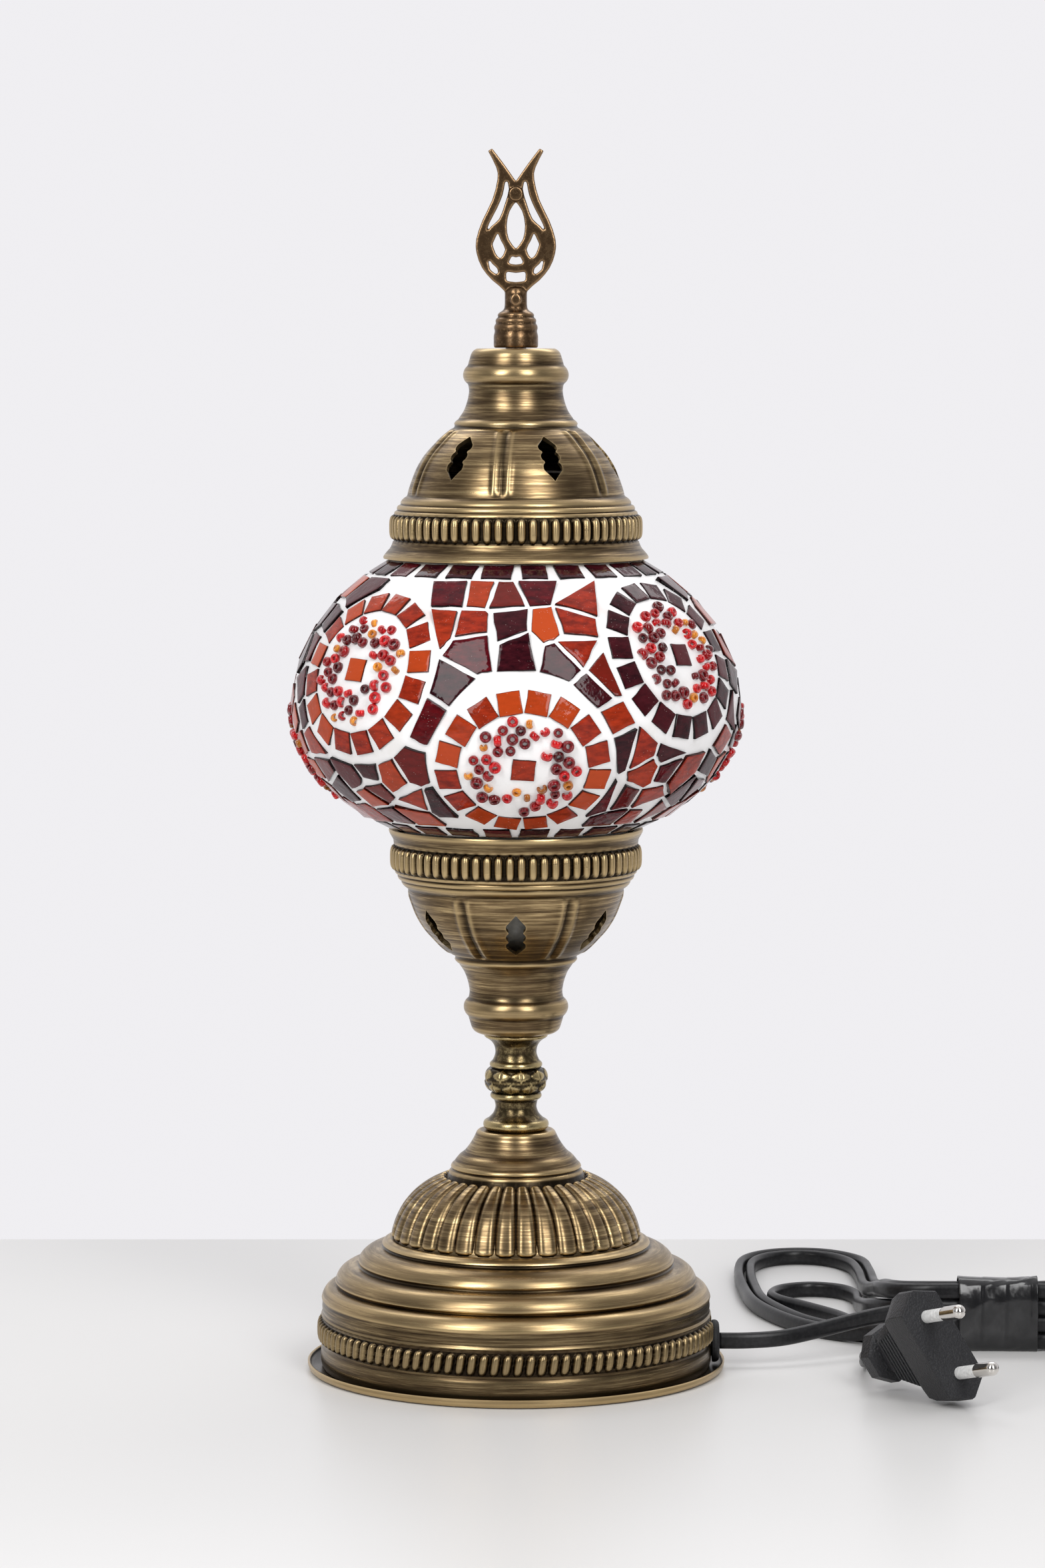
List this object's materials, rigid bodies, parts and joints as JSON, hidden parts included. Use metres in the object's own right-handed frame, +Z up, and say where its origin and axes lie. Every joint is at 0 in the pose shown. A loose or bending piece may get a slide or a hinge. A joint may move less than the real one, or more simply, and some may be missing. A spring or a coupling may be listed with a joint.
{
  "type": "mosaic glass table lamp",
  "caption": "Table lamp: a globe of maroon and orange glass mosaic between stamped antique-brass dishes on a stepped round base, with a pierced tulip finial and a black flat cord.",
  "frame": {"origin": "On the table, under the middle of the round base.", "axes": "+Z up along the stem and the finial; -Y is the front, the side the picture looks at; the cord leaves towards +X."},
  "size_m": [0.363, 0.2438, 0.3538],
  "materials": {
    "antique_brass": "stamped sheet, antiqued dark in the recesses, worn bright on the beads and ridges",
    "dark_cast_brass": "cast, dark and glossy, worn on the edges",
    "copper_cast": "cast, copper-brown antique finish with brighter edges",
    "zinc_steel": "zinc plated",
    "spring_steel": "sprung strip, satin",
    "nickel": "nickel plated, slightly worn",
    "contact_brass": "bare stamped brass",
    "solder": "solder, satin",
    "filament": "yellow phosphor-coated filament sticks",
    "black_rubber": "matt moulded rubber",
    "black_cord": "extruded flexible sheath, satin, grooved between the cores",
    "core_insulation": "one blue and one brown core",
    "black_tape": "wrinkled glossy tape",
    "black_plastic": "fine moulded texture",
    "black_gloss": "glossy moulding",
    "pin_sleeve": "white insulating sleeve",
    "white_bakelite": "white moulding",
    "white_ceramic": "unglazed",
    "black_glass": "black cap glass",
    "bulb_glass": "clear, thin",
    "globe_glass": "frosted, blown",
    "grout": "white plaster grout, matt, wiped flush",
    "orange_glass": "stained glass cut by hand, glossy, brick orange",
    "maroon_glass": "stained glass cut by hand, glossy, near-black maroon",
    "wine_glass": "stained glass cut by hand, glossy, deep wine",
    "red_bead": "glossy seed beads",
    "maroon_bead": "glossy seed beads",
    "amber_bead": "glossy seed beads"
  },
  "bodies": {
    "lamp": {"base_shell": "antique_brass", "base_pan": "antique_brass", "pan_washer": "zinc_steel", "pan_nut": "zinc_steel", "threaded_tube": "zinc_steel", "cord_gland": "black_rubber", "inner_cord": "black_cord", "stem": "dark_cast_brass", "lower_cup": "antique_brass", "cup_washer": "zinc_steel", "cup_nut": "zinc_steel", "holder_base": "white_bakelite", "holder_body": "white_bakelite", "holder_insert": "white_ceramic", "holder_screw_shell": "contact_brass", "holder_contact": "contact_brass", "holder_terminals": "zinc_steel", "core_wires": "core_insulation", "lamp_cord": "black_cord", "plug_cord": "black_cord", "cord_hank": "black_cord", "hank_tie": "black_tape", "plug_body": "black_plastic", "plug_pins": "nickel", "plug_sleeves": "pin_sleeve", "switch_base": "black_plastic", "switch_cover": "black_plastic", "switch_screws": "zinc_steel", "switch_contacts": "contact_brass"},
    "globe": {"globe_glass": "globe_glass", "grout_bed": "grout", "orange_tiles": "orange_glass", "maroon_tiles": "maroon_glass", "rim_tiles": "maroon_glass", "maroon_shards": "maroon_glass", "wine_shards": "wine_glass", "brick_shards": "orange_glass", "red_beads": "red_bead", "maroon_beads": "maroon_bead", "amber_beads": "amber_bead"},
    "cap": {"cap_shell": "antique_brass", "cap_stud": "zinc_steel", "cap_nuts": "zinc_steel", "cap_clip": "spring_steel", "finial": "copper_cast"},
    "bulb_tip": {"bulb_contact": "solder"},
    "bulb": {"bulb_glass": "bulb_glass", "bulb_cap": "nickel", "bulb_insulator": "black_glass", "bulb_mount": "bulb_glass", "bulb_filaments": "filament"},
    "rocker": {"switch_rocker": "black_gloss"}
  },
  "joints": [
    {"name": "globe_lift", "type": "slide", "parent": "lamp", "child": "globe", "axis": [0, 0, 1], "range_m": [0, 0.09]},
    {"name": "cap_lift", "type": "slide", "parent": "globe", "child": "cap", "axis": [0, 0, 1], "range_m": [0, 0.06]},
    {"name": "bulb_rise", "type": "slide", "parent": "lamp", "child": "bulb_tip", "axis": [0, 0, 1], "range_m": [0, 0.02025]},
    {"name": "bulb_turn", "type": "hinge", "parent": "bulb_tip", "child": "bulb", "pos_m": [0, 0, 0.16], "axis": [0, 0, 1], "range_deg": [0, 2520]},
    {"name": "rocker_tip", "type": "hinge", "parent": "lamp", "child": "rocker", "pos_m": [0.2455, 0.0258, 0.0142], "axis": [0, 1, 0], "range_deg": [0, 14]}
  ],
  "couplings": [
    {"joint": "bulb_rise", "follows": "bulb_turn", "m_per_rad": 0.00044914}
  ]
}
